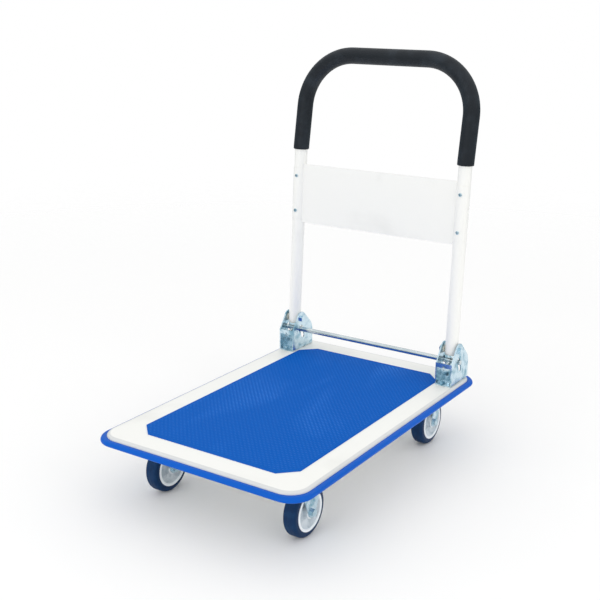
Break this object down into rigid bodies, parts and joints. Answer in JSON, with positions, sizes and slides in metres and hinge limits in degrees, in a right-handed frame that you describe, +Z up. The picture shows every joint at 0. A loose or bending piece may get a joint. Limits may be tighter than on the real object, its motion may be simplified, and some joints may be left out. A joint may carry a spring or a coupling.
{
  "type": "folding platform cart",
  "caption": "Folding platform cart: steel deck with ribbed mat and edge bumper, tubular handle that folds flat over the deck, rigid front and swivel rear casters.",
  "frame": {"origin": "on the floor under the middle of the deck", "axes": "+Z up, +Y towards the handle end, +X to the right seen from the front end, which is the end without the handle"},
  "size_m": [0.475, 0.72, 0.8372],
  "materials": {
    "white_enamel": "smooth semi-gloss white enamel",
    "blue_mat": "embossed PVC mat",
    "blue_bumper": "smooth satin PVC strip",
    "black_foam": "fine-pored foam",
    "zinc_plate": "bright blue-white zinc plate",
    "bright_steel": "bright plated steel",
    "nylon": "natural nylon",
    "navy_rubber": "moulded navy rubber",
    "hub_plastic": "moulded light grey plastic"
  },
  "bodies": {
    "deck": {"deck_pan": "white_enamel", "deck_mat": "blue_mat", "deck_bumper": "blue_bumper", "front_channel": "white_enamel", "rear_channel": "white_enamel", "centre_channel": "white_enamel", "bracket_left": "zinc_plate", "bracket_right": "zinc_plate", "bracket_bolts": "zinc_plate", "bracket_nuts": "zinc_plate", "pivot_bolts": "zinc_plate", "pivot_nuts": "zinc_plate", "pivot_washers": "nylon", "lock_spring_left": "bright_steel", "lock_spring_right": "bright_steel", "caster_bolts": "zinc_plate", "caster_nuts": "zinc_plate", "front_fork_left": "zinc_plate", "front_fork_right": "zinc_plate", "front_axle_bolts": "zinc_plate", "front_axle_nuts": "zinc_plate", "front_axle_sleeves": "bright_steel", "rear_plate_left": "zinc_plate", "rear_plate_right": "zinc_plate", "kingpin_left": "zinc_plate", "kingpin_right": "zinc_plate"},
    "handle": {"handle_tube": "white_enamel", "handle_grip": "black_foam", "handle_panel": "white_enamel", "panel_screws": "zinc_plate", "tube_plugs": "nylon"},
    "lock": {"lock_rod": "bright_steel", "rod_clips": "bright_steel"},
    "front_wheel_left": {"front_tyre_left": "navy_rubber", "front_hub_left": "hub_plastic", "front_bush_left": "nylon"},
    "rear_swivel_left": {"rear_fork_left": "zinc_plate", "rear_balls_left": "bright_steel", "rear_axle_bolt_left": "zinc_plate", "rear_axle_nut_left": "zinc_plate", "rear_axle_sleeve_left": "bright_steel"},
    "rear_wheel_left": {"rear_tyre_left": "navy_rubber", "rear_hub_left": "hub_plastic", "rear_bush_left": "nylon"},
    "front_wheel_right": {"front_tyre_right": "navy_rubber", "front_hub_right": "hub_plastic", "front_bush_right": "nylon"},
    "rear_swivel_right": {"rear_fork_right": "zinc_plate", "rear_balls_right": "bright_steel", "rear_axle_bolt_right": "zinc_plate", "rear_axle_nut_right": "zinc_plate", "rear_axle_sleeve_right": "bright_steel"},
    "rear_wheel_right": {"rear_tyre_right": "navy_rubber", "rear_hub_right": "hub_plastic", "rear_bush_right": "nylon"}
  },
  "joints": [
    {"name": "handle_fold", "type": "hinge", "parent": "deck", "child": "handle", "pos_m": [0, 0.283, 0.218], "axis": [1, 0, 0], "range_deg": [0, 99.5]},
    {"name": "lock_press", "type": "slide", "parent": "deck", "child": "lock", "axis": [0, 0.3584, -0.9336], "range_m": [0, 0.018], "stiffness_N_per_m": 800, "springref_m": -0.012, "deforming": ["lock_spring_left", "lock_spring_right"]},
    {"name": "front_wheel_left_spin", "type": "hinge", "parent": "deck", "child": "front_wheel_left", "pos_m": [-0.162, -0.23, 0.0508], "axis": [1, 0, 0], "continuous": true},
    {"name": "rear_left_swivel", "type": "hinge", "parent": "deck", "child": "rear_swivel_left", "pos_m": [-0.1586, 0.293, 0.12], "axis": [0, 0, 1], "continuous": true},
    {"name": "rear_wheel_left_spin", "type": "hinge", "parent": "rear_swivel_left", "child": "rear_wheel_left", "pos_m": [-0.1586, 0.2654, 0.0508], "axis": [1, 0, 0], "continuous": true},
    {"name": "front_wheel_right_spin", "type": "hinge", "parent": "deck", "child": "front_wheel_right", "pos_m": [0.162, -0.23, 0.0508], "axis": [1, 0, 0], "continuous": true},
    {"name": "rear_right_swivel", "type": "hinge", "parent": "deck", "child": "rear_swivel_right", "pos_m": [0.1586, 0.293, 0.12], "axis": [0, 0, 1], "continuous": true},
    {"name": "rear_wheel_right_spin", "type": "hinge", "parent": "rear_swivel_right", "child": "rear_wheel_right", "pos_m": [0.1586, 0.2654, 0.0508], "axis": [1, 0, 0], "continuous": true}
  ]
}
